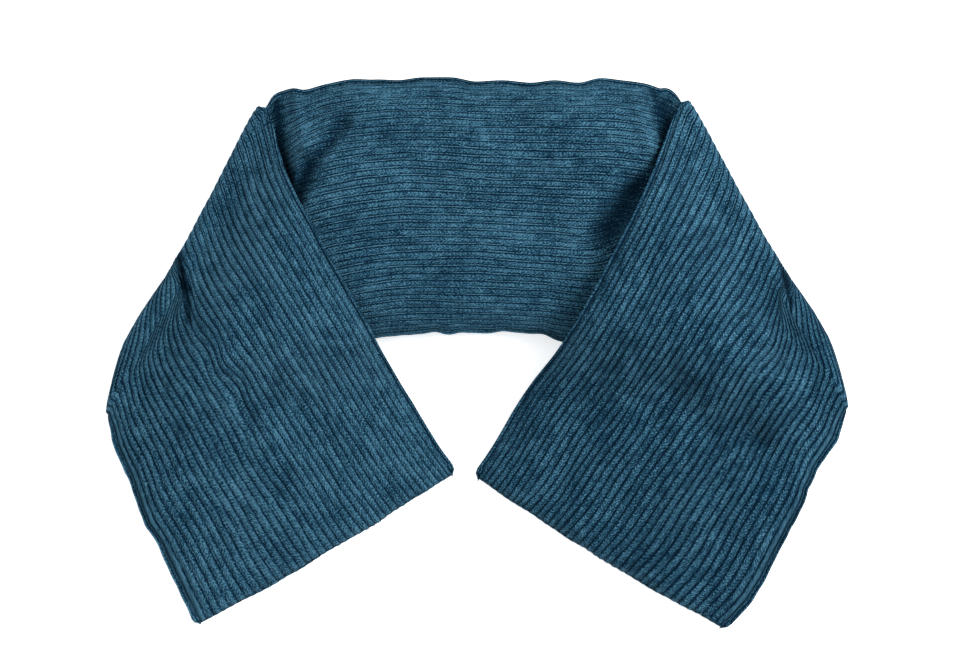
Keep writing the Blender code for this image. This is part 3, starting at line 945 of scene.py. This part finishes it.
def wheat_grain():
    """Dry wheat: oval grains a few millimetres long in golden browns, with painted shade in the gaps between
    them.
    """
    made = bpy.data.materials.new("wheat_grain")
    made.use_nodes = True
    tree = made.node_tree
    shader = tree.nodes["Principled BSDF"]
    place = node(tree, "ShaderNodeTexCoord").outputs["Object"]
    longer = scaled(tree, place, (1.0, 0.6, 1.0))
    grains = node(tree, "ShaderNodeTexVoronoi", {"Vector": longer, "Scale": 330.0})
    tint = node(tree, "ShaderNodeSeparateColor", {0: grains.outputs["Color"]}).outputs[0]
    colour = blended(tree, tint, (0.42, 0.24, 0.09, 1.0), (0.68, 0.46, 0.22, 1.0))
    # Painted shade: the gaps between the grains are coloured dark brown
    gap = ramp(tree, grains.outputs["Distance"], 0.35, 0.65)
    colour = blended(tree, gap, colour, (0.16, 0.08, 0.03, 1.0))
    tree.links.new(colour, shader.inputs["Base Color"])
    shader.inputs["Roughness"].default_value = 0.6
    height = maths(tree, "SUBTRACT", 1.0, grains.outputs["Distance"])
    bump = node(tree, "ShaderNodeBump", {"Height": height, "Strength": 0.6, "Distance": 0.001})
    tree.links.new(bump.outputs["Normal"], shader.inputs["Normal"])
    return made


filling = grain_mesh("wheat_grain_fill", wheat_grain())
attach(filling, "root")
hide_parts("wheat_filling")


# The stage: a plain white floor, soft light from all round with a broad lamp to the upper right, and a
# camera straight above, far enough off that the bag shows without distortion.

paper = bpy.data.materials.new("white_paper")
paper.use_nodes = True
paper_shader = paper.node_tree.nodes["Principled BSDF"]
paper_shader.inputs["Base Color"].default_value = (0.93, 0.93, 0.93, 1.0)
paper_shader.inputs["Roughness"].default_value = 0.9
paper_shader.inputs["Specular IOR Level"].default_value = 0.0
paper_shader.inputs["Emission Color"].default_value = (1.0, 1.0, 1.0, 1.0)
paper_shader.inputs["Emission Strength"].default_value = 0.6
sweep = bmesh.new()
bmesh.ops.create_grid(sweep, x_segments=1, y_segments=1, size=3.0)
floor_mesh = bpy.data.meshes.new("floor")
sweep.to_mesh(floor_mesh)
sweep.free()
floor_mesh.materials.append(paper)
floor = bpy.data.objects.new("floor", floor_mesh)
bpy.context.collection.objects.link(floor)

world = bpy.data.worlds.new("soft_studio")
bpy.context.scene.world = world
world.use_nodes = True
world.node_tree.nodes["Background"].inputs["Color"].default_value = (0.95, 0.98, 1.0, 1.0)
world.node_tree.nodes["Background"].inputs["Strength"].default_value = 0.62


def lamp(name, place, size, power):
    """A round lamp that points at the origin."""
    light = bpy.data.lights.new(name, "AREA")
    light.shape = "DISK"
    light.size = size
    light.energy = power
    made = bpy.data.objects.new(name, light)
    made.location = place
    towards = -np.array(place)
    flat = math.hypot(towards[0], towards[1])
    made.rotation_euler = (math.pi / 2.0 - math.atan2(-towards[2], flat), 0.0,
                           math.atan2(towards[1], towards[0]) - math.pi / 2.0)
    bpy.context.collection.objects.link(made)


lamp("broad_lamp", (1.0, 0.35, 1.0), 0.7, 17.0)
lamp("weak_lamp", (-0.9, 0.5, 1.2), 1.2, 4.0)

CAMERA_HEIGHT = 2.5
SEEN_HEIGHT = 0.02
SEEN_WIDTH = 0.485
lens = bpy.data.cameras.new("camera")
lens.sensor_width = 36.0
lens.lens = 36.0 * (CAMERA_HEIGHT - SEEN_HEIGHT) / SEEN_WIDTH
camera = bpy.data.objects.new("camera", lens)
camera.location = (0.004, 0.01625, CAMERA_HEIGHT)
bpy.context.collection.objects.link(camera)
bpy.context.scene.camera = camera
bpy.context.scene.view_settings.view_transform = "Standard"
